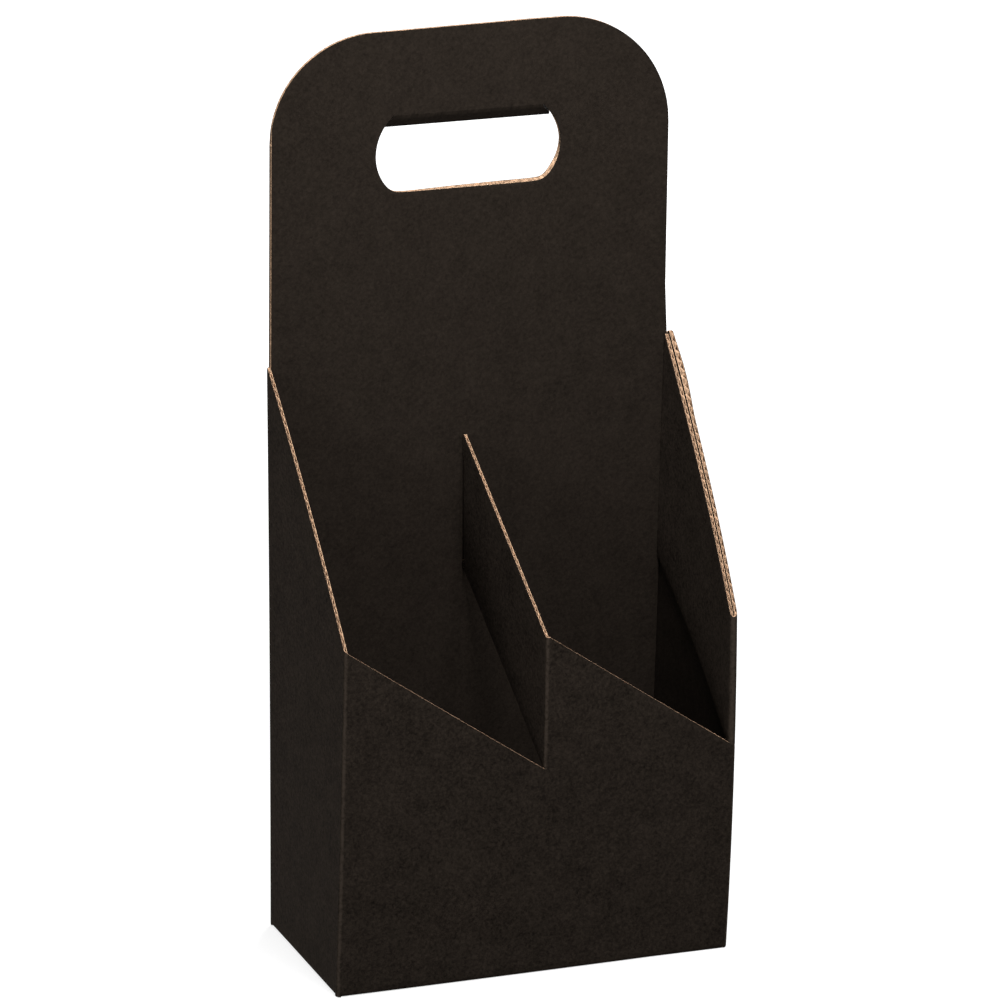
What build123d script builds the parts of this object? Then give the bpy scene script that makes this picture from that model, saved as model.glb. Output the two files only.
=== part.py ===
"""Two-cell carrier box, folded from one sheet of thin corrugated board, with a tall back panel.

X runs to the right, Y to the back and Z up. The origin is on the underside, midway between the
outer faces of the front and back panels and of the two side walls. All sizes are millimetres.
"""

import os

from build123d import *

os.makedirs("parts", exist_ok=True)

# Outer faces of the box
width = 133.0
depth = 66.5
panel_height = 298.0
side_height = 190.0

# Board and how it folds
board = 1.2
fold_inside = 0.6
hairpin_inside = 0.3
lap_gap = 0.15
edge_gap = 0.45
ramp_radius = 3.0
ramp_slope = 1.7

# Cut across the front panel, which frees the partition and the liner
crest_height = 114.0
valley_height = 69.0
partition_left = 1.0
leaf_corner = 1.5

# Back panel
panel_corner = 34.5
left_inset = 1.0
right_inset = 1.8

# Hand hole and the flap that was pushed out of it
hole_width = 62.7
hole_height = 24.3
hole_below_top = 30.5
hole_end_radius = 15.5
hinge_drop = 0.1
hinge_gap = 0.3
flap_clearance = 0.3

# Glue flap behind the back panel, from the right wall
glue_flap_width = 18.0
glue_flap_end_gap = 3.0
glue_flap_taper = 7.0

# Glue tab of the partition, on the front of the back panel
tab_width = 10.0
tab_height = 34.0
tab_taper = 11.0
tab_rise = 2.0

# Base flaps
corner_drop = 0.6
corner_relief = 0.4
base_overlap = 12.0
base_seam = 0.4
side_flap_reach = 30.0
side_flap_taper = 7.0

# Lengths that only let a cutter run past what it cuts
past = 1.0

# Faces and folds that follow from the sizes above
left = -width / 2
right = width / 2
front = -depth / 2
back = depth / 2
inner_back = back - board
fold_outside = fold_inside + board
hairpin_outside = hairpin_inside + board
glue_flap_back = back + lap_gap + board
layer = board + lap_gap
fold_start = partition_left + fold_outside
leaf_front = front + fold_outside
leaf_end = inner_back - edge_gap
leaf_rise = crest_height - valley_height
tab_face = inner_back - lap_gap
tab_bottom = crest_height + tab_rise
panel_middle = (left_inset - right_inset) / 2
hole_top = panel_height - hole_below_top
hole_middle = hole_top - hole_height / 2
hinge_y = back + hinge_gap
hinge_z = hole_top - hinge_drop


def hand_hole_outline(clearance):
    """Hand hole about its middle, flat above and below with an arc at each end, less a clearance."""
    with BuildSketch() as hole:
        SlotOverall(hole_width - 2 * clearance, 2 * (hole_end_radius - clearance))
        Rectangle(hole_width, hole_height - 2 * clearance, mode=Mode.INTERSECT)
    return hole.sketch


def make_base_flap(start, end, outline, reach, ramp_start, rise):
    """Bottom fold of a wall with its flap, seen as the front wall: its outer face is y = 0.

    The fold runs from start to end along X. The flap reaches inwards to y = reach, goes up by
    rise over what lies under it, and is cut to the outline in plan.
    """
    ramp_end = ramp_start + ramp_slope * rise
    section = [(0, 2 * fold_outside), (0, 0), (ramp_start, 0), (ramp_end, rise), (reach, rise)]
    radii = [fold_outside, ramp_radius, ramp_radius]
    if rise == 0:
        section = [(0, 2 * fold_outside), (0, 0), (reach, 0)]
        radii = fold_outside
    with BuildPart() as flap:
        with BuildSketch(Plane.YZ.offset(start)):
            with BuildLine():
                FilletPolyline(*section, radius=radii)
                offset(amount=board, side=Side.LEFT)
            make_face()
        extrude(amount=end - start)
        with BuildSketch():
            Polygon(*outline, align=None)
        extrude(amount=rise + 3 * fold_outside, mode=Mode.INTERSECT)
    return flap.part


# Base flaps, in the place that they have on a front wall whose outer face is y = 0

wall_start = left + fold_outside
side_ramp_start = fold_outside + ramp_radius / 2
side_rise = 2 * layer
side_ramp_end = side_ramp_start + ramp_slope * side_rise
lay_inset = side_ramp_end + ramp_radius / 3 - fold_outside
long_reach = depth / 2 + base_overlap
short_ramp_start = depth / 2 - base_overlap - ramp_slope * layer - ramp_radius / 2

long_flap = make_base_flap(
    start=wall_start,
    end=0,
    outline=[
        (wall_start, 0),
        (0, 0),
        (0, fold_outside),
        (-base_seam / 2, fold_outside),
        (-base_seam / 2, long_reach),
        (wall_start + lay_inset, long_reach),
        (wall_start + lay_inset, fold_outside + lay_inset),
        (wall_start, fold_outside),
    ],
    reach=long_reach,
    ramp_start=fold_outside,
    rise=0,
)

short_flap = make_base_flap(
    start=0,
    end=-wall_start,
    outline=[
        (-wall_start, 0),
        (0, 0),
        (0, fold_outside),
        (base_seam / 2, fold_outside),
        (base_seam / 2, depth / 2),
        (-wall_start - lay_inset, depth / 2),
        (-wall_start - lay_inset, fold_outside + lay_inset),
        (-wall_start, fold_outside),
    ],
    reach=depth / 2,
    ramp_start=short_ramp_start,
    rise=layer,
)

side_half = depth / 2 - fold_outside - corner_relief
side_shoulder = side_half - base_seam - lay_inset
side_flap = make_base_flap(
    start=-side_half,
    end=side_half,
    outline=[
        (-side_half, 0),
        (side_half, 0),
        (side_half, fold_outside),
        (side_half - base_seam, fold_outside),
        (side_shoulder, fold_outside + lay_inset),
        (side_shoulder - side_flap_taper, side_flap_reach),
        (-side_shoulder + side_flap_taper, side_flap_reach),
        (-side_shoulder, fold_outside + lay_inset),
        (-side_half + base_seam, fold_outside),
        (-side_half, fold_outside),
    ],
    reach=side_flap_reach,
    ramp_start=side_ramp_start,
    rise=side_rise,
)


# Partition: cut from the left half of the front panel and folded back at the centre

with BuildPart() as partition:
    with BuildSketch(Plane.XY.offset(valley_height)):
        with BuildLine():
            JernArc((fold_start, front), (-1, 0), fold_outside, -90)
            offset(amount=board, side=Side.RIGHT)
        make_face()
    extrude(amount=leaf_rise)
    with BuildSketch(Plane.YZ.offset(partition_left)):
        Polygon(
            (leaf_front, valley_height),
            (leaf_end, crest_height),
            (leaf_end, crest_height + leaf_rise),
            (leaf_front, crest_height),
            align=None,
        )
        fillet(vertices().sort_by(Axis.Y)[-1], leaf_corner)
        with Locations((tab_face - fold_outside, tab_bottom)):
            Rectangle(fold_outside, tab_height, align=Align.MIN, mode=Mode.SUBTRACT)
    extrude(amount=board)
    with BuildSketch(Plane.XY.offset(tab_bottom)):
        with BuildLine():
            JernArc((partition_left, tab_face - fold_outside), (0, 1), fold_outside, -90)
            offset(amount=board, side=Side.RIGHT)
        make_face()
    extrude(amount=tab_height)
    with BuildSketch(Plane.XZ.offset(-tab_face)):
        Polygon(
            (fold_start, tab_bottom),
            (partition_left + tab_width, tab_bottom + tab_taper),
            (partition_left + tab_width, tab_bottom + tab_height - tab_taper),
            (fold_start, tab_bottom + tab_height),
            align=None,
        )
    extrude(amount=board)


# Liner: cut from the right half of the front panel and folded flat inside the right wall

with BuildPart() as liner:
    with BuildSketch(Plane.XY.offset(valley_height)):
        with BuildLine():
            wall_run = Line((right, leaf_front + board), (right, front + hairpin_outside))
            hairpin = JernArc(wall_run @ 1, wall_run % 1, hairpin_outside, -180)
            Line(hairpin @ 1, (right - 2 * hairpin_outside, leaf_front))
            offset(amount=board, side=Side.RIGHT)
        make_face()
    extrude(amount=leaf_rise)
    with BuildSketch(Plane.YZ.offset(right - 2 * hairpin_outside)):
        Polygon(
            (leaf_front, valley_height),
            (leaf_end, crest_height),
            (leaf_end, side_height - edge_gap),
            (leaf_front, crest_height),
            align=None,
        )
        fillet(vertices().sort_by(Axis.Y)[-1], leaf_corner)
    extrude(amount=board)


# Glue flap: the back end of the right wall, folded round onto the back of the back panel

with BuildPart() as glue_flap:
    flap_start = right - fold_outside
    flap_edge = right - glue_flap_width
    with BuildSketch(Plane.XY.offset(corner_drop)):
        with BuildLine():
            FilletPolyline(
                (right, inner_back - glue_flap_width),
                (right, glue_flap_back),
                (flap_edge, glue_flap_back),
                radius=fold_outside,
            )
            offset(amount=board, side=Side.LEFT)
        make_face()
    extrude(amount=side_height - corner_drop)
    with BuildSketch(Plane.XZ.offset(-back)):
        for end, way in ((0, 1), (side_height, -1)):
            Polygon(
                (right + past, end),
                (right + past, end + way * glue_flap_end_gap),
                (flap_start, end + way * glue_flap_end_gap),
                (flap_edge, end + way * (glue_flap_end_gap + glue_flap_taper)),
                (flap_edge, end),
                align=None,
            )
    extrude(amount=back - glue_flap_back, mode=Mode.SUBTRACT)


# Carrier: everything that is folded from the one sheet

with BuildPart() as carrier:
    # Four walls round three folds, with the back panel's right edge free of the right wall
    with BuildSketch(Plane.XY.offset(corner_drop)):
        RectangleRounded(width, depth, fold_outside)
        RectangleRounded(width - 2 * board, depth - 2 * board, fold_inside, mode=Mode.SUBTRACT)
        with Locations((right, back)):
            Rectangle(fold_outside, 2 * fold_outside, align=Align.MAX, mode=Mode.SUBTRACT)
        with Locations((right - right_inset, back)):
            Rectangle(2 * fold_outside, board, align=Align.MAX)
    extrude(amount=side_height - corner_drop)
    add(glue_flap.part)

    # Slanted tops of the two side walls
    with BuildSketch(Plane.YZ.offset(left - past)):
        Polygon(
            (front - past, crest_height),
            (leaf_front, crest_height),
            (inner_back, side_height),
            (inner_back, side_height + past),
            (front - past, side_height + past),
            align=None,
        )
    extrude(amount=width + 2 * past, mode=Mode.SUBTRACT)

    # Saw-tooth top of the front panel
    with BuildSketch(Plane.XZ.offset(-front + past)):
        Polygon(
            (left, crest_height),
            (partition_left, valley_height),
            (fold_start, valley_height),
            (fold_start, crest_height),
            (right, valley_height),
            (right + past, valley_height),
            (right + past, crest_height + past),
            (left, crest_height + past),
            align=None,
        )
    extrude(amount=-past - fold_outside, mode=Mode.SUBTRACT)

    # Upper part of the back panel, with the hand hole
    with BuildSketch(Plane.XZ.offset(-back)):
        Polygon(
            (left + left_inset, side_height),
            (right - right_inset, side_height),
            (right - right_inset, panel_height),
            (left + left_inset, panel_height),
            align=None,
        )
        fillet(vertices().group_by(Axis.Y)[-1], panel_corner)
        with Locations((panel_middle, hole_middle)):
            add(hand_hole_outline(0), mode=Mode.SUBTRACT)
    extrude(amount=board)

    # Bottom edges of the walls give way to the folds of the base flaps
    with BuildSketch():
        Rectangle(width - 2 * fold_outside, depth + 2 * fold_outside + 2 * past)
        Rectangle(width + 2 * past, 2 * side_half)
    extrude(amount=fold_outside, mode=Mode.SUBTRACT)
    for turn in (0, 180):
        with Locations(Location((0, 0, 0), (0, 0, turn)) * Location((0, front, 0))):
            add(long_flap)
            add(short_flap)
        with Locations(Location((0, 0, 0), (0, 0, turn - 90)) * Location((0, left, 0))):
            add(side_flap)

    add(partition.part)
    add(liner.part)

carrier.part.label = "carrier"
export_step(carrier.part, "parts/carrier.step")


# Flap of the hand hole, swung back to lie level behind the panel

with BuildPart() as handle_flap:
    with BuildSketch(Plane.XY.offset(hinge_z - hinge_gap)):
        with Locations((panel_middle, hinge_y + hinge_z - hole_middle)):
            add(hand_hole_outline(flap_clearance))
    extrude(amount=-board)

handle_flap.part.label = "handle_flap"
export_step(handle_flap.part, "parts/handle_flap.step")
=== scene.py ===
"""Looks of the two-cell carrier box: one sheet of corrugated board, black with a brown middle.

The solids are replaced by meshes of the same sheet with its real section: two flat papers with a
wavy one between them, which shows wherever the board is cut. Sizes here are millimetres, in the
frame of the solids, and turn into metres when a mesh is made.
"""

import math

import bmesh
import bpy
import numpy as np
from mathutils import Matrix, Vector


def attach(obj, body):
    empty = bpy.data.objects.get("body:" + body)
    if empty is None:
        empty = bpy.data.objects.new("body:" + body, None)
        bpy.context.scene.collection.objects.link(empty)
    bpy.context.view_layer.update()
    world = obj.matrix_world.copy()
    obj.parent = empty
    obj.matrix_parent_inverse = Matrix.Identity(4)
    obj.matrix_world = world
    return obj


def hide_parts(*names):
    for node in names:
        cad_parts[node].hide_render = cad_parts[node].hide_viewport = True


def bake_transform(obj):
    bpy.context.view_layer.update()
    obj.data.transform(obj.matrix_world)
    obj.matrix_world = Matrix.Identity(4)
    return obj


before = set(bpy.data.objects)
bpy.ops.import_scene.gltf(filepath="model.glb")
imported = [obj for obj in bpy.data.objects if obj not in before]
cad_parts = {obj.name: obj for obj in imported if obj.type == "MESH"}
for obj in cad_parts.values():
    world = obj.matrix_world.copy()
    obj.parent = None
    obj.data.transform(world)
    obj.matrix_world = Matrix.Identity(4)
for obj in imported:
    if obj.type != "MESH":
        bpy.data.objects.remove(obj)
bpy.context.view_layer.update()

MM = 0.001

# Board: two flat papers with a wavy one between them
BOARD = 1.2
FLAT_PAPER = 0.17
WAVY_PAPER = 0.14
FLUTE = 2.13  # from one wave to the next
WASHBOARD = 0.004  # how far a face follows the flutes
PINCH = 0.08  # how far the cutting die pressed each face in, at a cut edge
PINCH_REACH = 0.9
POCKET = 2.6  # how deep the flutes are open from a cut edge
EDGE_ROOM = 2.5  # strips lower than this many pockets get shallower ones

# Box: the main sizes are those of the solids, and the others are fitted closer to the real box
WIDTH = 133.0
DEPTH = 66.5
PANEL_HEIGHT = 298.0
SIDE_HEIGHT = 190.0
LINER_HEIGHT = 190.3
CREST = 114.0
LEFT_CREST = 115.0
MIDDLE_CREST = 112.8
RIGHT_CREST = 114.7
VALLEY = 69.0
FOLD = 1.35  # radius of a fold on its outside
HAIRPIN = 1.32  # radius of the liner's fold through half a turn
CORNER_DROP = 0.15
PARTITION_LEFT = 1.0
LEAF_END = 31.6
LEAF_CORNER = 0.9
PANEL_LEFT = -65.5
PANEL_RIGHT = 64.7
PANEL_CORNERS = (34.6, 37.5)  # radii of its left and right corner

# Hand hole and its flap
HOLE_X = (PANEL_LEFT + PANEL_RIGHT) / 2
HOLE_Z = 256.68
HOLE_WIDTH = 62.45
HOLE_BELOW = 12.43  # from its middle to its lower edge
HOLE_END_RADIUS = 16.0
HOLE_TOP_RADIUS = 17.5
HOLE_SOFTNESS = 1.6  # how round its lower corners are
CREASE_Z = 269.8
CREASE_KINK = 42  # degrees that the flap turns at once
KINK_RADIUS = 0.5
CREASE_RUN = 3.6  # and goes straight on, before it turns the rest of the way
CREASE_RADIUS = 1.5
CREASE_SHADE = (3.2, 4.6)  # how far round its two ends the cut board is painted black as shade, fading out
FLAP_CLEARANCE = 0.3
FLAP_SHORT = 0.9  # what its far edge lacks to the hole's lower edge
SLANTS = (0.05, 0.6, 1.0)  # of the hole's lower edge through the board, from left to right
SLANT_PLACES = (-24, -7, 13)
SLANT_TOP = 1.5  # above the hole's middle
SLANT_FADE = 9.0
HOLE_ARC = {"degrees": 54, "step": 3}

# Glue tab of the partition and glue flap behind the back panel
TAB_WIDTH = 10.0
TAB_LOW = 116.0
TAB_HIGH = 150.0
TAB_TAPER = 11.0
TAB_FACE = 31.9
GLUE_FLAP_Y = 34.6
GLUE_FLAP_EDGE = 48.5
GLUE_FLAP_GAP = 0.6
GLUE_FLAP_TAPER = 7.0

# Base flaps
WALL_FOOT = 3.6  # the strips of the walls end at this height, and those of the base flaps begin
SIDE_HALF = 31.05
SIDE_SHOULDER = 23.56
SIDE_TIP = 16.56
LAY_INSET = 7.09
LONG_REACH = 45.25
SHORT_REACH = 33.25
SIDE_REACH = 30.0
SHORT_RAMP = 17.455
SIDE_RAMP = 3.3
LAYER = 1.35
RAMP_RADIUS = 3.0
RAMP_SLOPE = 1.7
SEAM = 0.2  # half of the gap between two flaps of a wall
RELIEF = 0.4  # at the corners of the side flaps

# Values that follow from those
LEFT = -WIDTH / 2
RIGHT = WIDTH / 2
FRONT = -DEPTH / 2
BACK = DEPTH / 2
LEAF_FRONT = FRONT + FOLD
FOLD_START = PARTITION_LEFT + FOLD
FLAT_X = WIDTH / 2 - FOLD
FLAT_Y = DEPTH / 2 - FOLD

# Places of a sheet's materials
OUTER, INNER, CUT = range(3)

# How finely things are divided
WALL_STEPS = 6
LEAF_STEPS = 4
FLAP_STEPS = 3
TAB_STEPS = 2
BEND_STEPS = 12
SECTION_STEPS = 4001
SHARP_ANGLE = 50
SAME_POINT = 0.001
HAIR = 0.01  # a little room where two places only just meet


class Path:
    """A line of straight runs and turns: the outer face of the sheet, in plan or in section.

    The board lies on one side of it, left (side=1) or right (side=-1) of the way it runs.
    """

    def __init__(self, start, heading, side):
        self.side = side
        self.length = 0.0
        self.point = start
        self.heading = math.radians(heading)
        self.legs = []

    def add(self, length, bend):
        """Adds a leg of the line, bent by so much for each mm of it."""
        self.legs.append((self.length, *self.point, self.heading, self.side * bend, length))
        x, y = self.at(np.array([self.length + length]))[:2]
        self.point = (x[0], y[0])
        self.heading += self.side * bend * length
        self.length += length
        return self.length

    def run(self, length):
        """Goes straight on. Returns how far along the line its end is."""
        return self.add(length, 0.0)

    def turn(self, radius, degrees):
        """Turns to the board's side, or from it where degrees is below 0."""
        return self.add(radius * abs(math.radians(degrees)), math.copysign(1 / radius, degrees))

    def at(self, u):
        """Point of the line and its direction into the board, for each distance along it."""
        legs = np.array(self.legs)
        leg = legs[np.clip(np.searchsorted(legs[:, 0], u, side="right") - 1, 0, len(legs) - 1)]
        start, x, y, heading, bend = (leg[..., k] for k in range(5))
        t = u - start
        straight = np.abs(bend) < 1e-9
        rate = np.where(straight, 1.0, bend)
        angle = heading + bend * t
        x = x + np.where(straight, t * np.cos(heading), (np.sin(angle) - np.sin(heading)) / rate)
        y = y + np.where(straight, t * np.sin(heading), (np.cos(heading) - np.cos(angle)) / rate)
        return x, y, -self.side * np.sin(angle), self.side * np.cos(angle)

    def upright(self, u, v, w):
        """Point of a sheet that stands on this line: u along it, v up and w into the board."""
        x, y, nx, ny = self.at(u)
        return np.stack([x + nx * w, y + ny * w, v + 0 * x], axis=-1)

    def fold(self, u):
        """1 in the middle of each turn, falling to 0 at its ends."""
        near = np.zeros_like(u)
        for start, *_, bend, length in self.legs:
            if bend:
                near = np.maximum(near, 1 - np.abs(u - start - length / 2) / (length / 2))
        return near

    def fold_marks(self, count=6):
        """Places that divide each turn into count parts."""
        turns = [(start, length) for start, *_, bend, length in self.legs if bend]
        return [start + length * k / count for start, length in turns for k in range(count + 1)]


def arc_marks(radius, degrees=90, step=5):
    """Distances from the steep end of an arc, close enough together there to look round."""
    return [radius * (1 - math.cos(math.radians(k))) for k in range(0, degrees + 1, step)]


def columns(start, end, marks=(), per_flute=8):
    """Places of the columns of faces from start to end, with the marks among them."""
    step = FLUTE / per_flute
    fixed = np.unique(np.round([start, end, *(m for m in marks if start < m < end)], 6))
    regular = np.arange(math.ceil(start / step), math.floor(end / step) + 1) * step
    free = regular[np.abs(regular[:, None] - fixed[None, :]).min(axis=1) > step / 4]
    return np.sort(np.concatenate([fixed, free]))


def rows(low, high, steps=1, cut_low=False, cut_high=False, shares=None):
    """Heights of the rows of faces for each column, close together at an edge that is cut."""
    low, high = np.broadcast_arrays(np.asarray(low, float), np.asarray(high, float))
    tight = np.clip((high - low) / (EDGE_ROOM * POCKET), 0, 1)
    below = [low + e * tight for e in ((0, PINCH_REACH, POCKET) if cut_low else (0,))]
    above = [high - e * tight for e in ((POCKET, PINCH_REACH, 0) if cut_high else (0,))]
    if shares is None:
        shares = np.linspace(0, 1, steps + 1)[1:-1]
    middle = [below[-1] + (above[0] - below[-1]) * s for s in shares]
    return np.stack([*below, *middle, *above], axis=-1)


def stacked(lower, upper):
    """Rows of two parts of a strip, one above the other."""
    return np.concatenate([lower, upper[:, 1:]], axis=1)


class Sheet:
    """Collects strips of board, and makes one mesh of them."""

    def __init__(self):
        self.points = []
        self.sheet = []
        self.fold = []
        self.edge = []
        self.faces = []
        self.slots = []
        self.count = 0

    def add_points(self, points, sheet, fold, edge):
        """Adds points and returns their numbers, in the shape that the points have."""
        shape = points.shape[:-1]
        numbers = np.arange(self.count, self.count + math.prod(shape)).reshape(shape)
        self.count += math.prod(shape)
        self.points.append(points.reshape(-1, 3))
        self.sheet.append(sheet.reshape(-1, 3))
        self.fold.append(np.broadcast_to(fold, shape).reshape(-1))
        self.edge.append(np.broadcast_to(edge, shape).reshape(-1))
        return numbers

    def add_faces(self, a, b, c, d, slot, flip):
        """Adds the four-sided faces whose corners are in a, b, c and d."""
        corners = (a, d, c, b) if flip else (a, b, c, d)
        self.faces.append(np.stack([k.reshape(-1) for k in corners], axis=-1))
        self.slots.append(np.full(len(self.faces[-1]), slot))

    def strip(self, place, cols, levels, low=False, high=False, first=None, last=None,
              sheet_u=(0.0, 1.0), sheet_v=(0.0, 1.0), fold=0.0):
        """Adds a strip of board.

        place(u, v, w) gives the point at u across the flutes, v along them and w into the board.
        cols are the u of its columns, and levels the v of its rows, one list for each column. low
        and high say for each gap between two columns whether it is cut there, first and last are
        the lowest and highest v between which a side is cut, and sheet_u and sheet_v the start
        and the way of u and v on the unfolded sheet.
        """
        n, m = levels.shape
        u = np.repeat(np.asarray(cols, float)[:, None], m, axis=1)
        low, high = np.broadcast_to(low, n - 1), np.broadcast_to(high, n - 1)
        across = sheet_u[0] + sheet_u[1] * u
        along = sheet_v[0] + sheet_v[1] * levels
        wave = np.sin(2 * np.pi * across / FLUTE)

        edge = np.zeros((n, m))
        for row, cut in ((0, low), (-1, high)):
            edge[:, row] = np.append(cut, False) | np.append(False, cut)
        for column, span in ((0, first), (-1, last)):
            if span is not None:
                cut = (levels[column] > span[0] - SAME_POINT) & (levels[column] < span[1] + SAME_POINT)
                edge[column] = np.maximum(edge[column], cut)
        press = PINCH * edge

        room = BOARD / 2 - FLAT_PAPER - WAVY_PAPER / 2
        middle = BOARD / 2 + room * wave
        numbers, corners = [], []
        for depth in (
            WASHBOARD * wave,
            np.full((n, m), FLAT_PAPER),
            middle - WAVY_PAPER / 2,
            middle + WAVY_PAPER / 2,
            np.full((n, m), BOARD - FLAT_PAPER),
            BOARD + WASHBOARD * wave,
        ):
            w = BOARD / 2 + (depth - BOARD / 2) * (1 - 2 * press / BOARD)
            points = place(u, levels, w)
            numbers.append(self.add_points(points, np.stack([across, along, w], axis=-1), fold, edge))
            corners.append(points)

        outside, inside = corners[0], corners[-1]
        across_way = outside[1, 0] - outside[0, 0]
        along_way = outside[0, -1] - outside[0, 0]
        inward = inside[0, 0] - outside[0, 0]
        turned = float(np.dot(np.cross(across_way, along_way), inward)) > 0

        for skin, slot, flip in ((numbers[0], OUTER, turned), (numbers[5], INNER, not turned)):
            self.add_faces(skin[:-1, :-1], skin[1:, :-1], skin[1:, 1:], skin[:-1, 1:], slot, flip)
        for cut, row, floor, flip in ((low, 0, 2, not turned), (high, -1, -3, turned)):
            if cut.any():
                self.open_end([k[:, row] for k in numbers], [k[:, floor] for k in numbers], cut, flip)
        for column, floor, span, flip in ((0, 1, first, turned), (-1, -2, last, not turned)):
            if span is not None:
                middles = (levels[column, :-1] + levels[column, 1:]) / 2
                cut = (middles > span[0]) & (middles < span[1])
                self.open_end([k[column] for k in numbers], [k[floor] for k in numbers], cut, flip)

    def open_end(self, lip, deep, cut, flip):
        """Closes a cut end: the edges of the three papers, with the gaps between them open to deep."""
        gaps = np.nonzero(cut)[0]
        for k in (0, 2, 4):
            ring = (lip[k][gaps], lip[k + 1][gaps], lip[k + 1][gaps + 1], lip[k][gaps + 1])
            self.add_faces(*ring, CUT, not flip)
        for k in (1, 2, 3, 4):
            ring = (lip[k][gaps], deep[k][gaps], deep[k][gaps + 1], lip[k][gaps + 1])
            self.add_faces(*ring, CUT, flip == (k % 2 == 0))
        for k in (1, 3):
            ring = (deep[k][gaps], deep[k + 1][gaps], deep[k + 1][gaps + 1], deep[k][gaps + 1])
            self.add_faces(*ring, CUT, not flip)

    def make(self, name, materials):
        """Makes the object, with its points where the real box has them."""
        faces = np.concatenate(self.faces)
        used, renumbered = np.unique(faces, return_inverse=True)
        points = settle(np.concatenate(self.points)[used]) * MM
        mesh = bpy.data.meshes.new(name)
        mesh.from_pydata(points.tolist(), [], renumbered.reshape(faces.shape).tolist())
        mesh.polygons.foreach_set("material_index", np.concatenate(self.slots).astype(np.int32))
        sheet = mesh.attributes.new("sheet", "FLOAT_VECTOR", "POINT").data
        sheet.foreach_set("vector", np.concatenate(self.sheet)[used].astype(np.float32).reshape(-1))
        for attribute, values in (("fold", self.fold), ("edge", self.edge)):
            data = mesh.attributes.new(attribute, "FLOAT", "POINT").data
            data.foreach_set("value", np.concatenate(values)[used].astype(np.float32))
        for material in materials:
            mesh.materials.append(material)
        merged = bmesh.new()
        merged.from_mesh(mesh)
        bmesh.ops.remove_doubles(merged, verts=merged.verts, dist=SAME_POINT * MM)
        merged.to_mesh(mesh)
        merged.free()
        mesh.shade_smooth()
        mesh.set_sharp_from_angle(angle=math.radians(SHARP_ANGLE))
        piece = bpy.data.objects.new(name, mesh)
        bpy.context.scene.collection.objects.link(piece)
        return piece


# How the folded box has settled: it isn't quite square

# Shifts to the right of the four corners, as factors of a quadratic in the share of a side wall's height
FRONT_LEFT = (-1.9, 6.3, -1.0)
FRONT_RIGHT = (-8.8, 7.7, 0.6)
BACK_LEFT = (-1.0, -0.8, -0.7)
BACK_RIGHT = (0.0, 3.6, 0.0)
PANEL_SHIFTS = (-2.5, 2.7)  # of the back panel's edges above the walls
PANEL_STEP = 1.5  # height in which the panel's own shifts take over
HOLE_SHIFT = -1.02
RIGHT_BULGE = 1.9
SPLAY = 0.78  # how much thicker the right wall's board is where its slanted top has opened
SPLAY_PLACE = 0.165  # its middle, as a share of the way from the back to the front
SPLAY_REACH = 0.17  # half of its length, as such a share
SPLAY_DEPTH = 28.0  # below the top
FRONT_BULGE = 0.4
FRONT_FOOT = (3.0, 0.5)  # how far forward the front stands, at its left and right foot
PANEL_TILT = 0.6  # how much lower the back panel is at the top left
TILT_START = 20.0
TILT_WIDTH = 50.0
TILT_HEIGHT = 28.0
PARTITION_LEAN = (-2.6, 0.0, 3.2)  # of its back end


def side_top(y, crest):
    """Slanted top of a side wall, from its crest up to the back."""
    return crest + (SIDE_HEIGHT - crest) * (y - LEAF_FRONT) / (BACK - BOARD - LEAF_FRONT)


def back_shift(x, z):
    """How far to the right a point at the back is moved."""
    height = np.clip(z / SIDE_HEIGHT, 0, 1)
    above = np.clip((z - SIDE_HEIGHT) / PANEL_STEP, 0, 1)
    left, right = (
        (1 - above) * np.polyval(wall_shift, height) + above * panel_shift
        for wall_shift, panel_shift in zip((BACK_LEFT, BACK_RIGHT), PANEL_SHIFTS)
    )
    middle = HOLE_SHIFT * height
    outer = np.clip((np.abs(x) - HOLE_WIDTH / 2) / (RIGHT - HOLE_WIDTH / 2), 0, 1) ** 2
    return middle + (np.where(x < 0, left, right) - middle) * outer


def settle(points):
    """Moves points of the square box to where they are in the folded one."""
    x, y, z = points.T
    height = np.clip(z / SIDE_HEIGHT, 0, 1)
    front = np.clip((BACK - y) / DEPTH, 0, 1)
    share = np.clip(x / WIDTH + 0.5, 0, 1)
    before = np.polyval(FRONT_LEFT, height) * (1 - share) + np.polyval(FRONT_RIGHT, height) * share
    bulge = RIGHT_BULGE * 4 * front * (1 - front) * np.clip(x / RIGHT, 0, 1) ** 4
    splay = np.clip(1 - ((front - SPLAY_PLACE) / SPLAY_REACH) ** 2, 0, 1) ** 2
    splay = splay * np.clip(1 - (side_top(y, RIGHT_CREST) - z) / SPLAY_DEPTH, 0, 1)
    bulge = bulge + SPLAY * splay * np.clip((x - RIGHT) / BOARD + 1, 0, 1)
    foot = np.interp(share, [0, 1], FRONT_FOOT) * np.clip(1 - z / CREST, 0, 1) * front
    belly = FRONT_BULGE * front**2 * 4 * share * (1 - share)
    tilt = PANEL_TILT * np.clip((TILT_START - x) / TILT_WIDTH, 0, 1)
    tilt = tilt * np.clip((z - CREASE_Z) / TILT_HEIGHT, 0, 1)
    x = x + front * before + (1 - front) * back_shift(x, z) + bulge
    return np.stack([x, y - foot - belly, z - tilt], axis=-1)


# Walls, from the free edge of the back panel round to the glue flap

wall = Path((PANEL_RIGHT, BACK), 180, side=1)
u_back = wall.run(PANEL_RIGHT + FLAT_X)
u_left = wall.turn(FOLD, 90)
u_left_end = wall.run(2 * FLAT_Y)
u_front = wall.turn(FOLD, 90)
u_front_end = wall.run(2 * FLAT_X)
u_right = wall.turn(FOLD, 90)
u_right_end = wall.run(FLAT_Y + GLUE_FLAP_Y - FOLD)
u_glue = wall.turn(FOLD, 90)
u_end = wall.run(FLAT_X - GLUE_FLAP_EDGE)

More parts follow.
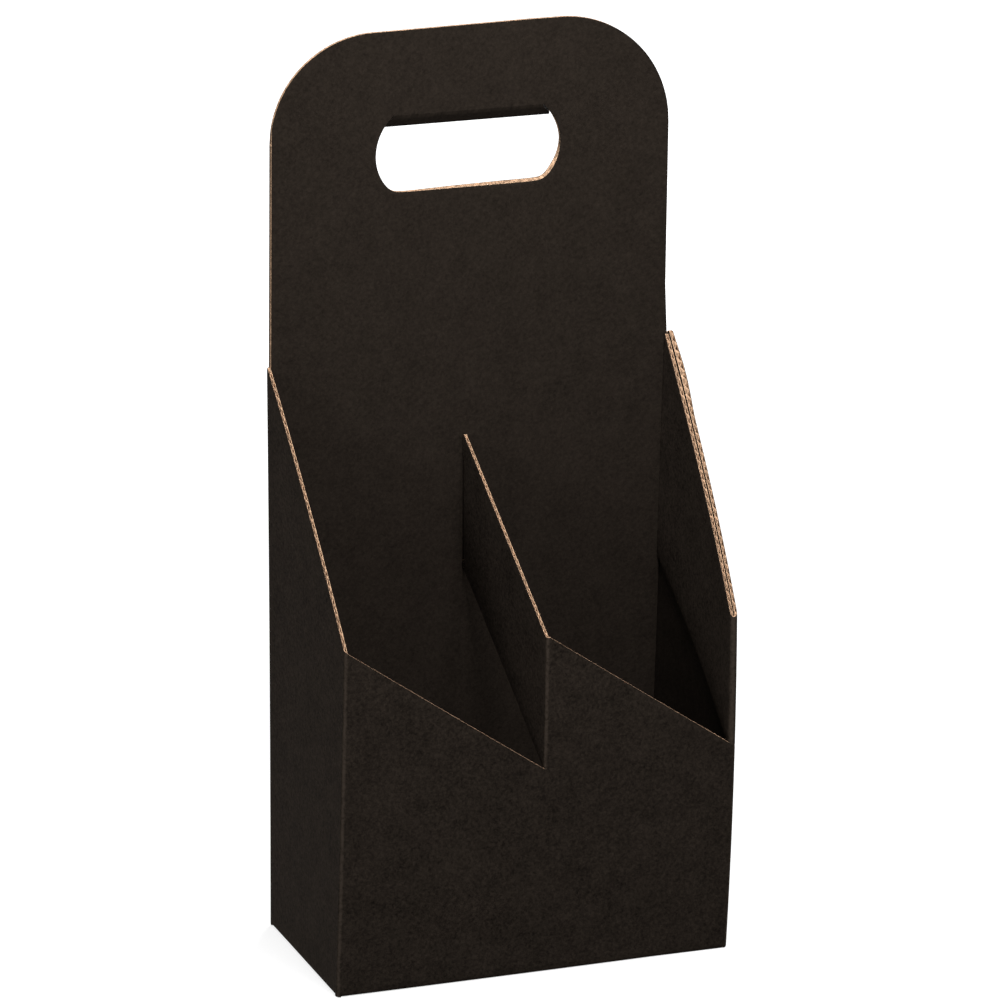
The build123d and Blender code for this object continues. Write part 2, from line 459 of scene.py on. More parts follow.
u_panel_left = u_back + FOLD * math.asin((-FLAT_X - PANEL_LEFT) / FOLD)
u_valley = u_front + PARTITION_LEFT + FLAT_X
u_crest = u_front + FOLD_START + FLAT_X
u_behind = u_right_end + FOLD * math.asin((BACK - GLUE_FLAP_Y + FOLD) / FOLD)
base_walls = (  # start, middle and end of the two walls that have a long and a short base flap
    (0.0, PANEL_RIGHT, u_back),
    (u_front, u_front + FLAT_X, u_front_end),
)
side_middles = (u_left + FLAT_Y, u_right + FLAT_Y)
side_marks = (
    -SIDE_HALF, RELIEF - SIDE_HALF, -SIDE_SHOULDER, -SIDE_TIP,
    SIDE_TIP, SIDE_SHOULDER, SIDE_HALF - RELIEF, SIDE_HALF,
)
wall_marks = [*wall.fold_marks(), u_back, u_panel_left, u_behind]
for start, middle, end in base_walls:
    wall_marks += [start + LAY_INSET, middle - SEAM, middle + SEAM, end - LAY_INSET]
wall_marks += [middle + m for middle in side_middles for m in side_marks]


def hole_rise(x, end_radius, flat, clearance=0.0, softness=0.0):
    """How far the hand hole's upper or lower edge is from its middle at x."""
    radius = end_radius - clearance
    past = np.maximum(np.abs(x - HOLE_X) - (HOLE_WIDTH / 2 - end_radius), 0)
    curved = np.sqrt(np.maximum(radius**2 - past**2, 0))
    flat = flat - clearance
    lower = (flat + curved - np.hypot(flat - curved, softness)) / 2
    return np.where(curved > 0, np.maximum(lower, 0), 0)


hole_above = CREASE_Z - HOLE_Z


def above_hole(x, clearance=0.0):
    """How far the hole's upper edge is above its middle."""
    return hole_rise(x, HOLE_TOP_RADIUS, hole_above, clearance)


def below_hole(x, clearance=0.0):
    """How far the hole's lower edge is below its middle."""
    return hole_rise(x, HOLE_END_RADIUS, HOLE_BELOW, clearance, HOLE_SOFTNESS)


def left_tooth(x):
    """Top of the front panel left of the partition's fold."""
    return np.interp(x, [LEFT, PARTITION_LEFT], [LEFT_CREST, VALLEY])


def right_tooth(x):
    """Top of the front panel right of the partition's fold."""
    return np.interp(x, [FOLD_START, RIGHT], [MIDDLE_CREST, VALLEY])


def panel_top(x):
    """Top of the back panel, with round corners where the panel has settled."""
    at, left, right = (k + back_shift(k, PANEL_HEIGHT) for k in (x, PANEL_LEFT, PANEL_RIGHT))
    to_sides = (at - left, right - at)
    left_past, right_past = (
        np.clip(radius - to_side, 0, radius) for radius, to_side in zip(PANEL_CORNERS, to_sides)
    )
    radius = np.where(left_past > 0, *PANEL_CORNERS)
    past = np.maximum(left_past, right_past)
    return PANEL_HEIGHT - radius + np.sqrt(radius**2 - past**2)


carrier = Sheet()


def on_wall(u, v, w):
    """Point of the walls. The lower right edge of the hand hole is cut at a slant."""
    points = wall.upright(u, v, w)
    x, rise = points[..., 0] - HOLE_X, points[..., 2] - HOLE_Z
    along = np.clip(x, HOLE_END_RADIUS - HOLE_WIDTH / 2, HOLE_WIDTH / 2 - HOLE_END_RADIUS)
    round_end = np.hypot(x - along, rise) - HOLE_END_RADIUS
    below = -rise - HOLE_BELOW
    reach = np.clip(1 - np.maximum(round_end, below), 0, 1)
    slant = np.interp(x, SLANT_PLACES, SLANTS) * np.clip((SLANT_TOP - rise) / SLANT_FADE, 0, 1)
    slant = slant * reach * (points[..., 1] > 0) * (1 - w / BOARD)
    out = np.where(round_end > below, (x - along) / HOLE_END_RADIUS, 0 * x)
    points[..., 0] -= slant * out
    points[..., 2] += slant * np.sqrt(1 - np.clip(out, -1, 1) ** 2)
    return points


def add_wall(cols, levels, **ends):
    """Adds a strip of the walls."""
    carrier.strip(on_wall, cols, levels, fold=wall.fold(cols)[:, None], **ends)


# Back panel, below and above the middle of the hand hole
crease_half = HOLE_WIDTH / 2 - HOLE_TOP_RADIUS + math.sqrt(HOLE_TOP_RADIUS**2 - hole_above**2)
hole_ends = [HOLE_WIDTH / 2 - a for a in arc_marks(HOLE_END_RADIUS, **HOLE_ARC)]
panel_marks = [HOLE_X + side * half for side in (-1, 1) for half in (*hole_ends, crease_half)]
panel_marks += [PANEL_LEFT + a for a in arc_marks(PANEL_CORNERS[0])]
panel_marks += [PANEL_RIGHT - a for a in arc_marks(PANEL_CORNERS[1])]
cols = columns(0, u_panel_left, wall_marks + [PANEL_RIGHT - x for x in panel_marks])
x = wall.at(cols)[0]
in_hole = np.abs((x[:-1] + x[1:]) / 2 - HOLE_X) < HOLE_WIDTH / 2
on_crease = np.abs(x - HOLE_X) < crease_half + HAIR
lower = stacked(
    rows(WALL_FOOT + 0 * x, SIDE_HEIGHT, WALL_STEPS, cut_high=True),
    rows(SIDE_HEIGHT + 0 * x, HOLE_Z - below_hole(x), LEAF_STEPS, cut_high=True),
)
upper = rows(HOLE_Z + above_hole(x), panel_top(x), LEAF_STEPS, cut_low=True, cut_high=True)
add_wall(cols, lower, high=in_hole, first=(WALL_FOOT, HOLE_Z), last=(SIDE_HEIGHT, HOLE_Z))
add_wall(
    cols, upper, low=in_hole & ~(on_crease[:-1] & on_crease[1:]), high=True,
    first=(HOLE_Z, PANEL_HEIGHT), last=(HOLE_Z, PANEL_HEIGHT),
)

# Left wall, with the folds at its two ends
cols = columns(u_panel_left, u_front, wall_marks)
x, y, _, _ = wall.at(cols)
top = np.where(cols > u_left_end, left_tooth(x), np.minimum(side_top(y, LEFT_CREST), SIDE_HEIGHT))
add_wall(cols, rows(WALL_FOOT, top, WALL_STEPS, cut_high=True), high=True)

# Front panel, left of the partition's fold, in front of it and right of it
cols = columns(u_front, u_valley, wall_marks)
add_wall(cols, rows(WALL_FOOT, left_tooth(wall.at(cols)[0]), WALL_STEPS, cut_high=True), high=True)
cols = columns(u_valley, u_crest, wall_marks)
add_wall(cols, rows(WALL_FOOT + 0 * cols, VALLEY, WALL_STEPS, cut_high=True), high=True)
cols = columns(u_crest, u_right, wall_marks)
below_valley = rows(WALL_FOOT + 0 * cols, VALLEY, WALL_STEPS, cut_high=True)
above_valley = rows(VALLEY, right_tooth(wall.at(cols)[0]), LEAF_STEPS, cut_low=True, cut_high=True)
add_wall(cols, stacked(below_valley, above_valley), high=True)

# Right wall up to the back panel, and the glue flap behind that
cols = columns(u_right, u_behind, wall_marks)
below_valley = rows(WALL_FOOT + 0 * cols, VALLEY, WALL_STEPS, cut_high=True)
top = np.minimum(side_top(wall.at(cols)[1], RIGHT_CREST), SIDE_HEIGHT)
above_valley = rows(VALLEY, top, WALL_STEPS, cut_low=True, cut_high=True)
add_wall(
    cols, stacked(below_valley, above_valley), high=True, last=(SIDE_HEIGHT - GLUE_FLAP_GAP, SIDE_HEIGHT)
)
cols = columns(u_behind, u_end, wall_marks)
taper = np.interp(cols, [u_glue, u_end], [0, GLUE_FLAP_TAPER])
top = SIDE_HEIGHT - GLUE_FLAP_GAP - taper
levels = rows(GLUE_FLAP_GAP + taper, top, WALL_STEPS, cut_low=True, cut_high=True)
add_wall(cols, levels, low=True, high=True, last=(0, SIDE_HEIGHT))

# Feet of the four corner folds
for start, end in (
    (u_back, side_middles[0] - SIDE_HALF),
    (side_middles[0] + SIDE_HALF, u_front),
    (u_front_end, side_middles[1] - SIDE_HALF),
    (side_middles[1] + SIDE_HALF, u_behind),
):
    cols = columns(start, end, wall_marks)
    foot = rows(CORNER_DROP + 0 * cols, WALL_FOOT, cut_low=True)
    add_wall(cols, foot, low=True, first=(CORNER_DROP, WALL_FOOT), last=(CORNER_DROP, WALL_FOOT))


# Partition, folded back out of the front panel's left half

leaf = Path((FOLD_START, FRONT), 180, side=-1)
leaf.turn(FOLD, 90)
u_tab_fold = leaf.run(TAB_FACE - FOLD - LEAF_FRONT)
u_leaf_end = leaf.run(LEAF_END - TAB_FACE + FOLD)
leaf_sheet = (u_crest, -1.0)


def leaf_bottom(y):
    """Lower edge of the partition and of the liner."""
    return np.interp(y, [LEAF_FRONT, LEAF_END], [VALLEY, CREST])


def leaning(place):
    """The place function, with its points moved as the partition leans."""

    def place_leaning(u, v, w):
        points = place(u, v, w)
        share = np.clip((points[..., 1:2] - LEAF_FRONT) / (TAB_FACE - LEAF_FRONT), 0, 1)
        return points + share * np.array(PARTITION_LEAN)

    return place_leaning


def rounded(distance, top):
    """Height at a distance from a leaf's back end, where its upper corner is cut round."""
    past = np.maximum(LEAF_CORNER - distance, 0)
    return top - LEAF_CORNER + np.sqrt(np.maximum(LEAF_CORNER**2 - past**2, 0))


def leaf_top(y):
    """Slanted top of the partition."""
    return np.interp(y, [LEAF_FRONT, LEAF_END], [MIDDLE_CREST, 2 * CREST - VALLEY])


cols = columns(0, u_tab_fold, leaf.fold_marks())
y = leaf.at(cols)[1]
carrier.strip(
    leaning(leaf.upright), cols, rows(leaf_bottom(y), leaf_top(y), LEAF_STEPS, cut_low=True, cut_high=True),
    low=True, high=True, last=(0, SIDE_HEIGHT), sheet_u=leaf_sheet, fold=leaf.fold(cols)[:, None],
)
cols = columns(u_tab_fold, u_leaf_end, [u_leaf_end - a for a in arc_marks(LEAF_CORNER, step=15)])
y = leaf.at(cols)[1]
bottom, top = leaf_bottom(y), np.minimum(leaf_top(y), rounded(u_leaf_end - cols, 2 * CREST - VALLEY))
for low, high in ((bottom, TAB_LOW + 0 * cols), (TAB_HIGH + 0 * cols, top)):
    carrier.strip(
        leaning(leaf.upright), cols, rows(low, high, cut_low=True, cut_high=True),
        low=True, high=True, last=(0, SIDE_HEIGHT), sheet_u=leaf_sheet,
    )

# Glue tab of the partition, between those two
tab = Path((PARTITION_LEFT, TAB_FACE - FOLD), 90, side=-1)
u_tab = tab.turn(FOLD, 90)
u_tab_end = tab.run(TAB_WIDTH - FOLD)
cols = columns(0, u_tab_end, tab.fold_marks())
taper = np.interp(cols, [u_tab, u_tab_end], [0, TAB_TAPER])
levels = rows(TAB_LOW + taper, TAB_HIGH - taper, TAB_STEPS, cut_low=True, cut_high=True)
carrier.strip(
    leaning(tab.upright), cols, levels, low=True, high=True, last=(0, SIDE_HEIGHT),
    sheet_u=(u_crest - u_tab_fold, -1.0), fold=tab.fold(cols)[:, None],
)


# Liner, folded flat inside the right wall

liner = Path((RIGHT, LEAF_FRONT), -90, side=-1)
liner.run(LEAF_FRONT - FRONT - HAIRPIN)
liner.turn(HAIRPIN, 180)
u_liner = liner.run(LEAF_FRONT - FRONT - HAIRPIN)
u_liner_end = liner.run(LEAF_END - LEAF_FRONT)
corner_marks = [u_liner_end - a for a in arc_marks(LEAF_CORNER, step=15)]
cols = columns(0, u_liner_end, [*liner.fold_marks(12), u_liner, *corner_marks])
y = liner.at(cols)[1]
bottom = np.where(cols > u_liner, leaf_bottom(y), VALLEY)
top = np.minimum(side_top(y, RIGHT_CREST), rounded(u_liner_end - cols, LINER_HEIGHT))
carrier.strip(
    liner.upright, cols, rows(bottom, top, WALL_STEPS, cut_low=True, cut_high=True),
    low=True, high=True, last=(0, SIDE_HEIGHT), sheet_u=(u_right, -1.0), fold=liner.fold(cols)[:, None],
)


# Base flaps

base = Sheet()
fold_start = WALL_FOOT - FOLD
fold_end = fold_start + FOLD * math.pi / 2
fold_rows = [0.0, fold_start, *(fold_start + FOLD * math.pi / 2 * k / 4 for k in (1, 2, 3))]


def base_section(ramp_start=None, rise=0.0):
    """Outer face of a base flap, from a wall's foot round its fold and inwards."""
    section = Path((0.0, WALL_FOOT), -90, side=1)
    section.run(fold_start)
    section.turn(FOLD, 90)
    if rise:
        slope = math.degrees(math.atan(1 / RAMP_SLOPE))
        shorter = RAMP_RADIUS * math.tan(math.radians(slope / 2))
        section.run(ramp_start - FOLD - shorter)
        section.turn(RAMP_RADIUS, slope)
        section.run(rise * math.hypot(1, RAMP_SLOPE) - 2 * shorter)
        section.turn(RAMP_RADIUS, -slope)
    section.run(DEPTH)
    return section


def along_section(section, reach):
    """How far along the section its outer face is as far from the wall as reach."""
    v = np.linspace(fold_start, section.length, SECTION_STEPS)
    return np.interp(reach, section.at(v)[0], v)


def add_base_flap(section, start, end, reach, shares=(0.33, 0.66), first=None, last=None):
    """Adds a base flap under the wall from start to end, as far inwards as reach(u) gives."""
    cols = columns(start, end, wall_marks, per_flute=4)
    tip = along_section(section, reach(cols))
    flap_rows = rows(fold_end + 0 * cols, tip, cut_high=True, shares=shares)
    levels = np.concatenate([np.tile(fold_rows, (len(cols), 1)), flap_rows], axis=1)

    def under_wall(u, v, w):
        """Point of the flap: the section, standing across the wall's line."""
        d, z, nd, nz = section.at(v)
        x, y, nx, ny = wall.at(u)
        inwards = d + nd * w
        return np.stack([x + nx * inwards, y + ny * inwards, z + nz * w], axis=-1)

    base.strip(
        under_wall, cols, levels, high=True, first=first, last=last, sheet_v=(WALL_FOOT, -1.0),
        fold=np.maximum(section.fold(levels), wall.fold(cols)[:, None]),
    )


flat_section = base_section()
short_section = base_section(SHORT_RAMP, LAYER)
side_section = base_section(SIDE_RAMP, 2 * LAYER)
all_along = (0.0, 2 * DEPTH)
past_fold = (fold_end, 2 * DEPTH)
past_lay = (along_section(flat_section, FOLD + LAY_INSET), 2 * DEPTH)
short_shares = (0.2, 0.4, *np.linspace(0.46, 0.66, 8), 0.8)  # close together where the flap ramps up
side_shares = (*np.linspace(0.02, 0.32, 10), 0.5, 0.75)
corner_reach = FOLD + HAIR

# Front and back wall: a long flap on the left, seen from outside, and a short one beside it
for start, middle, end in base_walls:
    add_base_flap(
        flat_section, start, start + LAY_INSET, lambda u: corner_reach + u - start, first=all_along
    )
    add_base_flap(
        flat_section, start + LAY_INSET, middle - SEAM, lambda u: LONG_REACH + 0 * u,
        first=past_lay, last=past_fold,
    )
    add_base_flap(flat_section, middle - SEAM, middle + SEAM, lambda u: corner_reach + 0 * u)
    add_base_flap(
        short_section, middle + SEAM, end - LAY_INSET, lambda u: SHORT_REACH + 0 * u, short_shares,
        first=past_fold, last=past_lay,
    )
    add_base_flap(
        short_section, end - LAY_INSET, end, lambda u: corner_reach + end - u, last=all_along
    )

# Side walls: one flap each, on top of the others
side_reaches = (FOLD, FOLD, FOLD + LAY_INSET, SIDE_REACH, SIDE_REACH, FOLD + LAY_INSET, FOLD, FOLD)
for middle in side_middles:
    add_base_flap(
        side_section, middle - SIDE_HALF, middle + SIDE_HALF,
        lambda u: np.interp(u - middle, side_marks, side_reaches) + HAIR, side_shares,
        first=all_along, last=all_along,
    )


# Flap of the hand hole, bent back along its crease

flap_section = Path((BACK, CREASE_Z), -90, side=-1)
flap_section.turn(KINK_RADIUS, -CREASE_KINK)
flap_section.run(CREASE_RUN)
v_bend = flap_section.turn(CREASE_RADIUS, CREASE_KINK - 90)
flap_section.run(DEPTH)


def on_flap(x, v, w):
    """Point of the flap: x to the right, v along its section from the crease and w into the board."""
    y, z, ny, nz = flap_section.at(v)
    return np.stack([x, y + ny * w, z + nz * w], axis=-1)


flap = Sheet()
flap_half = HOLE_WIDTH / 2 - FLAP_CLEARANCE
flap_radius = HOLE_TOP_RADIUS - FLAP_CLEARANCE
flap_above = hole_above - FLAP_CLEARANCE


def flap_half_at(v):
    """Half of the flap's width at v from its crease."""
    return HOLE_WIDTH / 2 - HOLE_TOP_RADIUS + math.sqrt(flap_radius**2 - (flap_above - v) ** 2)


flap_ends = [flap_half - a for a in arc_marks(flap_radius, **HOLE_ARC)]
flap_ends += [flap_half_at(v) for v in np.linspace(0, v_bend, 5)]
flap_marks = [HOLE_X + side * half for side in (-1, 1) for half in flap_ends]
bend_half, bend_end_half = flap_half_at(0), flap_half_at(v_bend)
for start, end in (
    (-flap_half, -bend_end_half), (-bend_end_half, -bend_half), (-bend_half, bend_half),
    (bend_half, bend_end_half), (bend_end_half, flap_half),
):
    cols = columns(HOLE_X + start, HOLE_X + end, flap_marks)
    near = flap_above - above_hole(cols, FLAP_CLEARANCE)
    far = hole_above + below_hole(cols, FLAP_CLEARANCE) - FLAP_SHORT
    creased = start < 0 < end
    if max(abs(start), abs(end)) > bend_end_half:
        levels = rows(near, np.maximum(far, near), FLAP_STEPS, cut_low=True, cut_high=True)
    else:
        bend_shares = np.arange(BEND_STEPS) / BEND_STEPS
        bend_rows = near[:, None] * (1 - bend_shares) + v_bend * bend_shares
        flat_rows = rows(v_bend + 0 * cols, far, FLAP_STEPS, cut_high=True)
        levels = np.concatenate([bend_rows, flat_rows], axis=1)
    flap.strip(
        on_flap, cols, levels, low=not creased, high=True,
        sheet_u=(PANEL_RIGHT, -1.0), sheet_v=(CREASE_Z, -1.0), fold=flap_section.fold(levels),
    )


# Materials, laid out on the millimetres of the unfolded sheet

BLACK = (0.0167, 0.0128, 0.0099)
KRAFT = (0.64, 0.415, 0.265)
BLACK_ROUGHNESS = 0.85
BLACK_SPECULAR = 0.02
KRAFT_ROUGHNESS = 0.9
KRAFT_SPECULAR = 0.1
TONES = (0.2, 1.8)  # of the black paper, from its darkest to its lightest
GRAIN_SHARE = 1.6
CLOUD_SHARE = 0.62
THREAD_SHARE = 0.22
THREAD_DROP = 0.05  # what the other fibres lose, so that the light ones don't lighten the paper
THREAD_WIDTH = 0.035
WORN_FOLD = (0.25, 0.9)  # how near a fold's middle the wear begins and is full
WORN_GRAIN = (0.3, 0.65)  # the grain that takes least and most of it
WORN_LEAST = 0.3
WORN_TONE = 4.0
WORN_SHARE = 0.4
CHIPPED_GRAIN = (0.6, 0.72)
CHIPPED_SHARE = 0.4
CHIPPED_TONE = 0.6
EDGE_POWER = 6  # keeps the chips at the cut itself
FLECKS = (0.38, 0.62)
KRAFT_TONES = (0.42, 1.28)
# Painted shade inside the open flutes: where it begins from the cut edge, and how dark the cut board gets
# at their bottom
POCKET_EDGE = 0.9
POCKET_SHADE_TONE = 0.12
INK_MIDDLE = BOARD / 2 + 0.05  # the ink reaches into the cut a little more from the outer face
INK = (BOARD / 2 - 0.17, BOARD / 2 - 0.12)  # it begins and is full so far from the middle
THREAD_HEIGHT = 0.3
BLACK_RELIEF = 0.35
KRAFT_RELIEF = 0.4
BUMP_DEPTH = 0.00005  # metres
TURN = (0.62, 0.47, 0.81)  # radians


def put(tree, kind, inputs=None, **settings):
    """Adds a node with these settings, and values or links at these inputs."""
    node = tree.nodes.new("ShaderNode" + kind)
    for key, value in settings.items():
        setattr(node, key, value)
    for key, value in (inputs or {}).items():
        if isinstance(value, bpy.types.NodeSocket):
            tree.links.new(value, node.inputs[key])
        else:
            node.inputs[key].default_value = value
    return node


def remap(tree, value, from_range, to_range):
    """The value moved from one range to another, and held inside it."""
    ranges = dict(zip(("From Min", "From Max", "To Min", "To Max"), (*from_range, *to_range)))
    return put(tree, "MapRange", {"Value": value, **ranges}).outputs[0]


def math_of(tree, operation, a, b=0.0, c=0.0):
    """Result of a Math node."""
    return put(tree, "Math", {0: a, 1: b, 2: c}, operation=operation).outputs[0]


def vector_of(tree, operation, a, b=(0, 0, 0)):
    """The outputs of a Vector Math node: a vector, and a value for a length or a distance."""
    return put(tree, "VectorMath", {0: a, 1: b}, operation=operation).outputs


def mixed(tree, factor, a, b):
    """Colour between a and b."""
    colours = {6: a, 7: b}
    return put(tree, "Mix", {0: factor, **colours}, data_type="RGBA").outputs[2]


def noise(tree, vector, scale, detail, roughness, distortion=0.0):
    """Noise between 0 and 1."""
    inputs = {"Vector": vector, "Scale": scale, "Detail": detail}
    inputs.update({"Roughness": roughness, "Distortion": distortion})
    return put(tree, "TexNoise", inputs).outputs[0]


def attribute(tree, name, output="Fac"):
    """What the mesh says at a point."""
    return put(tree, "Attribute", attribute_name=name).outputs[output]


def new_material(name, roughness, specular):
    """A new material with its nodes, its shader and the place on the sheet."""
    material = bpy.data.materials.new(name)
    material.use_nodes = True
    shader = material.node_tree.nodes["Principled BSDF"]
    shader.inputs["Roughness"].default_value = roughness
    shader.inputs["Specular IOR Level"].default_value = specular
    return material, material.node_tree, shader, attribute(material.node_tree, "sheet", "Vector")


def askew(tree, vector):
    """The vector turned, so that no grain of a noise runs along the sheet."""
    return put(tree, "Mapping", {"Vector": vector, "Rotation": TURN}).outputs[0]


def times(colour, factor):
    """The colour made lighter or darker, with its alpha."""
    return (*(factor * c for c in colour), 1)


def add_bump(tree, shader, height, strength):
    """Fine relief on the shader."""
    bump = put(tree, "Bump", {"Height": height, "Strength": strength, "Distance": BUMP_DEPTH})
    tree.links.new(bump.outputs[0], shader.inputs["Normal"])


def black_paper(name, mottle, wear):
    """Black paper face: fibres, cloudy ink, and wear along folds and cut edges.

    mottle says how strong the fibres and clouds are, and wear how far the folds are worn.
    """
    material, tree, shader, sheet = new_material(name, BLACK_ROUGHNESS, BLACK_SPECULAR)
    turned = askew(tree, sheet)
    grain = noise(tree, turned, scale=0.85, detail=3, roughness=0.75, distortion=0.4)
    cloud = noise(tree, turned, scale=0.11, detail=3, roughness=0.75)
    curls = noise(tree, turned, scale=0.6, detail=2.5, roughness=0.6, distortion=1.6)
    thread = math_of(tree, "ABSOLUTE", math_of(tree, "SUBTRACT", curls, 0.5))
    thread = remap(tree, thread, (0, THREAD_WIDTH), (1, 0))

    middle = 0.5 - THREAD_DROP * mottle
    tone = math_of(tree, "MULTIPLY_ADD", thread, THREAD_SHARE * mottle, middle)
    for part, share in ((grain, GRAIN_SHARE), (cloud, CLOUD_SHARE)):
        centred = math_of(tree, "SUBTRACT", part, 0.5)
        tone = math_of(tree, "MULTIPLY_ADD", centred, share * mottle, tone)
    on_fold = remap(tree, attribute(tree, "fold"), WORN_FOLD, (0, wear))
    worn = math_of(tree, "MULTIPLY", on_fold, remap(tree, grain, WORN_GRAIN, (WORN_LEAST, 1)))
    tone = math_of(tree, "ADD", tone, worn)
    colour = mixed(tree, tone, *(times(BLACK, k) for k in TONES))
    worn = math_of(tree, "MULTIPLY", worn, WORN_SHARE)
    colour = mixed(tree, worn, colour, times(BLACK, WORN_TONE))
    at_edge = math_of(tree, "POWER", attribute(tree, "edge"), EDGE_POWER)
    chipped = math_of(tree, "MULTIPLY", at_edge, remap(tree, grain, CHIPPED_GRAIN, (0, CHIPPED_SHARE)))
    colour = mixed(tree, chipped, colour, times(KRAFT, CHIPPED_TONE))
    tree.links.new(colour, shader.inputs["Base Color"])
    height = math_of(tree, "MULTIPLY_ADD", thread, THREAD_HEIGHT, grain)
    add_bump(tree, shader, height, BLACK_RELIEF)
    return material


def cut_board(name):
    """Brown paper where the board is cut.

    It is inked black along the board's faces. Painted shade makes it dark inside the flutes, and black at
    the two ends of the crease of the hand hole's flap.
    """
    material, tree, shader, sheet = new_material(name, KRAFT_ROUGHNESS, KRAFT_SPECULAR)
    flecks = noise(tree, askew(tree, sheet), scale=1.3, detail=4, roughness=0.75)
    tone = remap(tree, flecks, FLECKS, (0, 1))
    colour = mixed(tree, tone, *(times(KRAFT, k) for k in KRAFT_TONES))
    depth = put(tree, "SeparateXYZ", {0: sheet}).outputs[2]
    from_middle = math_of(tree, "ABSOLUTE", math_of(tree, "SUBTRACT", depth, INK_MIDDLE))
    colour = mixed(tree, remap(tree, from_middle, INK, (0, 1)), colour, times(BLACK, 1))
    # Painted shade: the cut board darkens from its cut edge down into the open flutes
    pocket_shade = remap(tree, attribute(tree, "edge"), (0, POCKET_EDGE), (1, 0))
    colour = mixed(tree, pocket_shade, colour, times(KRAFT, POCKET_SHADE_TONE))
    # Painted shade: the cut board turns black near the two ends of the flap's crease
    crease_middle = (PANEL_RIGHT - HOLE_X, CREASE_Z - CREASE_RUN / 2, BOARD / 2)
    from_crease = vector_of(tree, "SUBTRACT", sheet, crease_middle)[0]
    from_crease = vector_of(tree, "ABSOLUTE", from_crease)[0]
    from_end = vector_of(tree, "DISTANCE", from_crease, (crease_half, 0, 0))["Value"]
    colour = mixed(tree, remap(tree, from_end, CREASE_SHADE, (1, 0)), colour, times(BLACK, 1))
    tree.links.new(colour, shader.inputs["Base Color"])
    add_bump(tree, shader, flecks, KRAFT_RELIEF)
    return material


materials = [
    black_paper("black_outer_face", mottle=1.0, wear=0.6),
    black_paper("black_inner_face", mottle=0.6, wear=0.3),
    cut_board("cut_edge"),
]

for sheet, name, node in ((carrier, "carrier_sheet", "carrier"), (base, "carrier_base_flaps", "carrier")):
    piece = sheet.make(name, materials)
    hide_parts(node)
    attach(piece, node)

piece = flap.make("hand_hole_flap", materials)
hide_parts("handle_flap")
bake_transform(piece)


# Camera, at the photo's angle

CAMERA_PLACE = (-0.759055, -2.056592, 0.848996)  # metres
CAMERA_YAW = 20.2344  # degrees, to the right of straight back
CAMERA_PITCH = 17.7104  # downwards
CAMERA_ROLL = -0.7221
CAMERA_LENS = 259.131
CAMERA_SENSOR = 36

yaw, pitch, roll = (math.radians(a) for a in (CAMERA_YAW, CAMERA_PITCH, CAMERA_ROLL))
ahead = Vector((math.sin(yaw) * math.cos(pitch), math.cos(yaw) * math.cos(pitch), -math.sin(pitch)))
level = Vector((math.cos(yaw), -math.sin(yaw), 0))
steep = ahead.cross(level)
to_right = math.cos(roll) * level + math.sin(roll) * steep
upwards = math.sin(roll) * level - math.cos(roll) * steep

camera_data = bpy.data.cameras.new("camera")
camera_data.lens = CAMERA_LENS
camera_data.sensor_width = CAMERA_SENSOR
camera = bpy.data.objects.new("camera", camera_data)
turned = Matrix((to_right, upwards, -ahead)).transposed().to_4x4()
camera.matrix_world = Matrix.Translation(CAMERA_PLACE) @ turned
bpy.context.scene.collection.objects.link(camera)
bpy.context.scene.camera = camera


# Floor, light and background

FLOOR_HALF = 8.0  # metres
FLOOR_DROP = 0.00005
FLOOR_SHADE = (0.3, 0.3, 0.3, 1)  # of the part that takes a shadow
FLOOR_GLOW = (0.75, 1.0)  # added to that, near the box and far from it
GLOW_PLACES = (0.35, 0.9)  # how far from the middle near and far are
FLOOR_BOUNCE = (0.15, 0.15, 0.15, 1)  # for the light that it sends back to the box
WHITE = (1, 1, 1, 1)
AMBIENT = 0.42
AIM = (0, 0, 0.15)

scene = bpy.context.scene
scene.view_settings.view_transform = "Standard"


def seen_directly(tree):
    """1 for rays that show the background itself, and 0 for light that falls on the object."""
    path = put(tree, "LightPath").outputs
    shown = math_of(tree, "MAXIMUM", path["Is Camera Ray"], path["Is Glossy Ray"])
    return math_of(tree, "MAXIMUM", shown, path["Is Transmission Ray"])


floor_mesh = bpy.data.meshes.new("floor")
corners = [(x * FLOOR_HALF, y * FLOOR_HALF, 0) for x, y in ((-1, -1), (1, -1), (1, 1), (-1, 1))]
floor_mesh.from_pydata(corners, [], [(0, 1, 2, 3)])
floor = bpy.data.objects.new("floor", floor_mesh)
floor.location.z = -FLOOR_DROP
scene.collection.objects.link(floor)

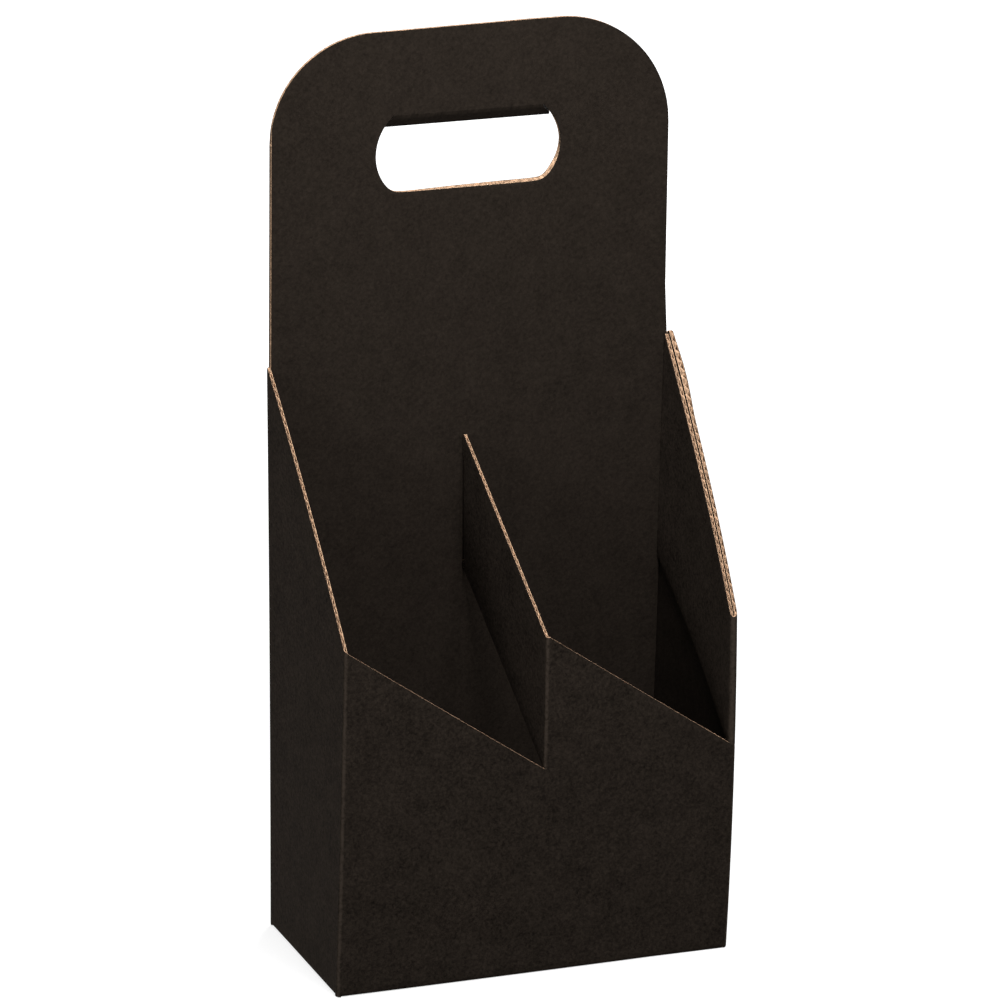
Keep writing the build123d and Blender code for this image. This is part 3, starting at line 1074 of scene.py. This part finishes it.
floor_material = bpy.data.materials.new("pale_floor")
floor_material.use_nodes = True
tree = floor_material.node_tree
tree.nodes.clear()
place = put(tree, "NewGeometry").outputs
glow = remap(tree, vector_of(tree, "LENGTH", place["Position"])["Value"], GLOW_PLACES, FLOOR_GLOW)
glow = put(tree, "Emission", {"Color": WHITE, "Strength": glow}).outputs[0]
lit = put(tree, "BsdfDiffuse", {"Color": FLOOR_SHADE}).outputs[0]
shown = put(tree, "AddShader", {0: lit, 1: glow}).outputs[0]
dim = put(tree, "BsdfDiffuse", {"Color": FLOOR_BOUNCE}).outputs[0]
clear = put(tree, "BsdfTransparent").outputs[0]

# Under the box the floor doesn't glow, and it lets light up to the box's base
sides = put(tree, "SeparateXYZ", {0: vector_of(tree, "ABSOLUTE", place["Position"])[0]}).outputs
within = [math_of(tree, "LESS_THAN", sides[k], half * MM) for k, half in enumerate((RIGHT, BACK))]
under_box = math_of(tree, "MULTIPLY", *within)
seen = put(tree, "MixShader", {0: under_box, 1: shown, 2: dim}).outputs[0]
unseen = put(tree, "MixShader", {0: under_box, 1: dim, 2: clear}).outputs[0]
above = put(tree, "MixShader", {0: seen_directly(tree), 1: unseen, 2: seen}).outputs[0]
both_sides = put(tree, "MixShader", {0: place["Backfacing"], 1: above, 2: clear}).outputs[0]
put(tree, "OutputMaterial", {0: both_sides})
floor_mesh.materials.append(floor_material)

world = bpy.data.worlds.new("studio")
world.use_nodes = True
tree = world.node_tree
tree.nodes.clear()
ambient = put(tree, "Background", {"Color": WHITE, "Strength": AMBIENT}).outputs[0]
white = put(tree, "Background", {"Color": WHITE, "Strength": 1}).outputs[0]
sky = put(tree, "MixShader", {0: seen_directly(tree), 1: ambient, 2: white}).outputs[0]
put(tree, "OutputWorld", {0: sky})
scene.world = world


def softbox(name, place, size, power):
    """Adds a square lamp that points at the box. Its place and size are metres, its power watts."""
    lamp = bpy.data.lights.new(name, "AREA")
    lamp.shape = "SQUARE"
    lamp.size = size
    lamp.energy = power
    thing = bpy.data.objects.new(name, lamp)
    thing.location = place
    thing.rotation_euler = (Vector(AIM) - Vector(place)).to_track_quat("-Z", "Y").to_euler()
    scene.collection.objects.link(thing)


softbox("front", (0.0, -0.355, 0.57), size=0.2, power=3.4)
softbox("left", (-1.16, -0.38, 0.6), size=0.3, power=6.8)
softbox("back", (0.62, 0.85, 0.75), size=0.4, power=13)
